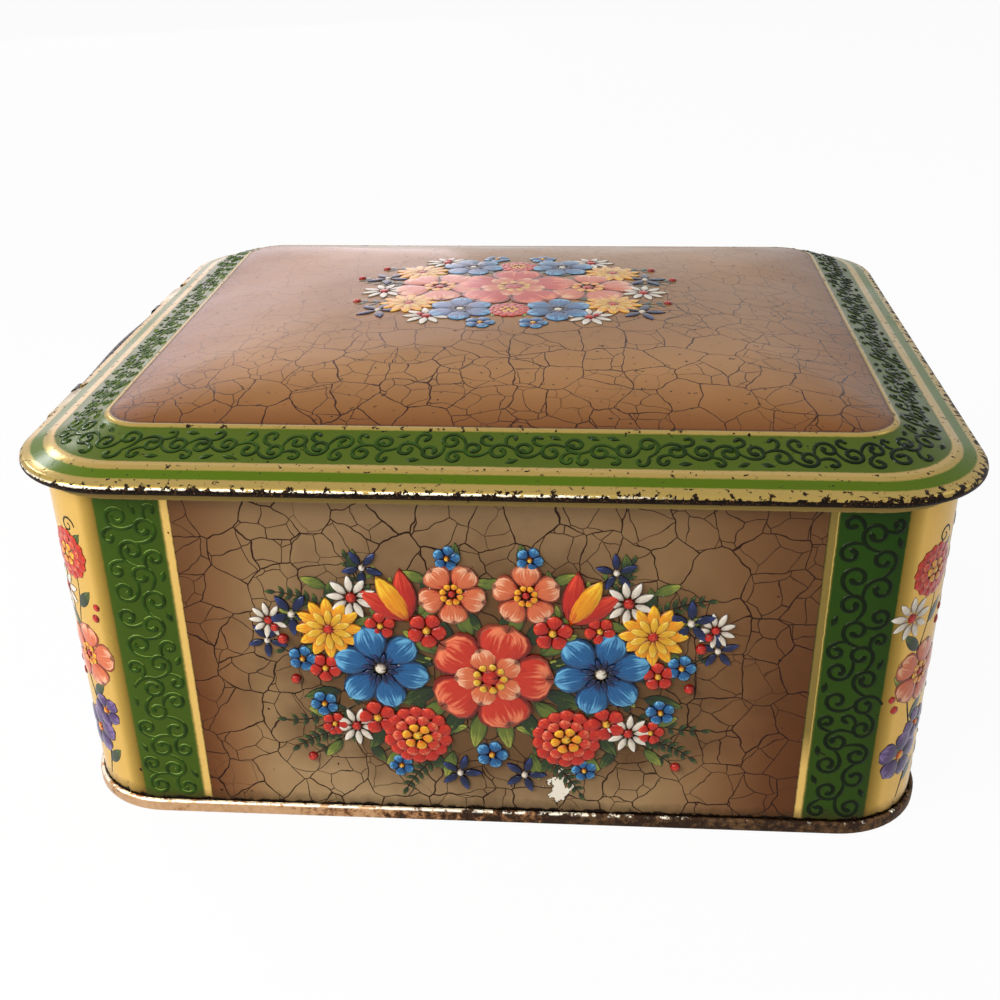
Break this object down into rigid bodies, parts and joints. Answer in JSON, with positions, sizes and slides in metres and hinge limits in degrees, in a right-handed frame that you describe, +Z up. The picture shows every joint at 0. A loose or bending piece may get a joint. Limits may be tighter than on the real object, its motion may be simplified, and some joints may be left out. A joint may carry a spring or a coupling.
{
  "type": "tin box",
  "caption": "Rounded rectangular printed tin box with an embossed cushion lid that swings on a wire hinge at one side.",
  "frame": {"origin": "middle of the walls on the plane the box stands on", "axes": "+Z up, +X along the width away from the hinge, -Y through the front wall"},
  "size_m": [0.2128, 0.186, 0.102],
  "materials": {
    "printed_walls": "glossy litho print",
    "plain_tin": "worn bare tinplate",
    "printed_lid": "glossy litho print",
    "dark_wire": "dark oxidised wire"
  },
  "bodies": {
    "box": {"body_shell": "printed_walls", "base_panel": "plain_tin", "hinge_rod": "dark_wire", "hinge_eye_near": "dark_wire", "hinge_eye_far": "dark_wire"},
    "cover": {"lid": "printed_lid"}
  },
  "joints": [
    {"name": "lid_hinge", "type": "hinge", "parent": "box", "child": "cover", "pos_m": [-0.10629, 0, 0.0854], "axis": [0, -1, 0], "range_deg": [0, 110]}
  ]
}
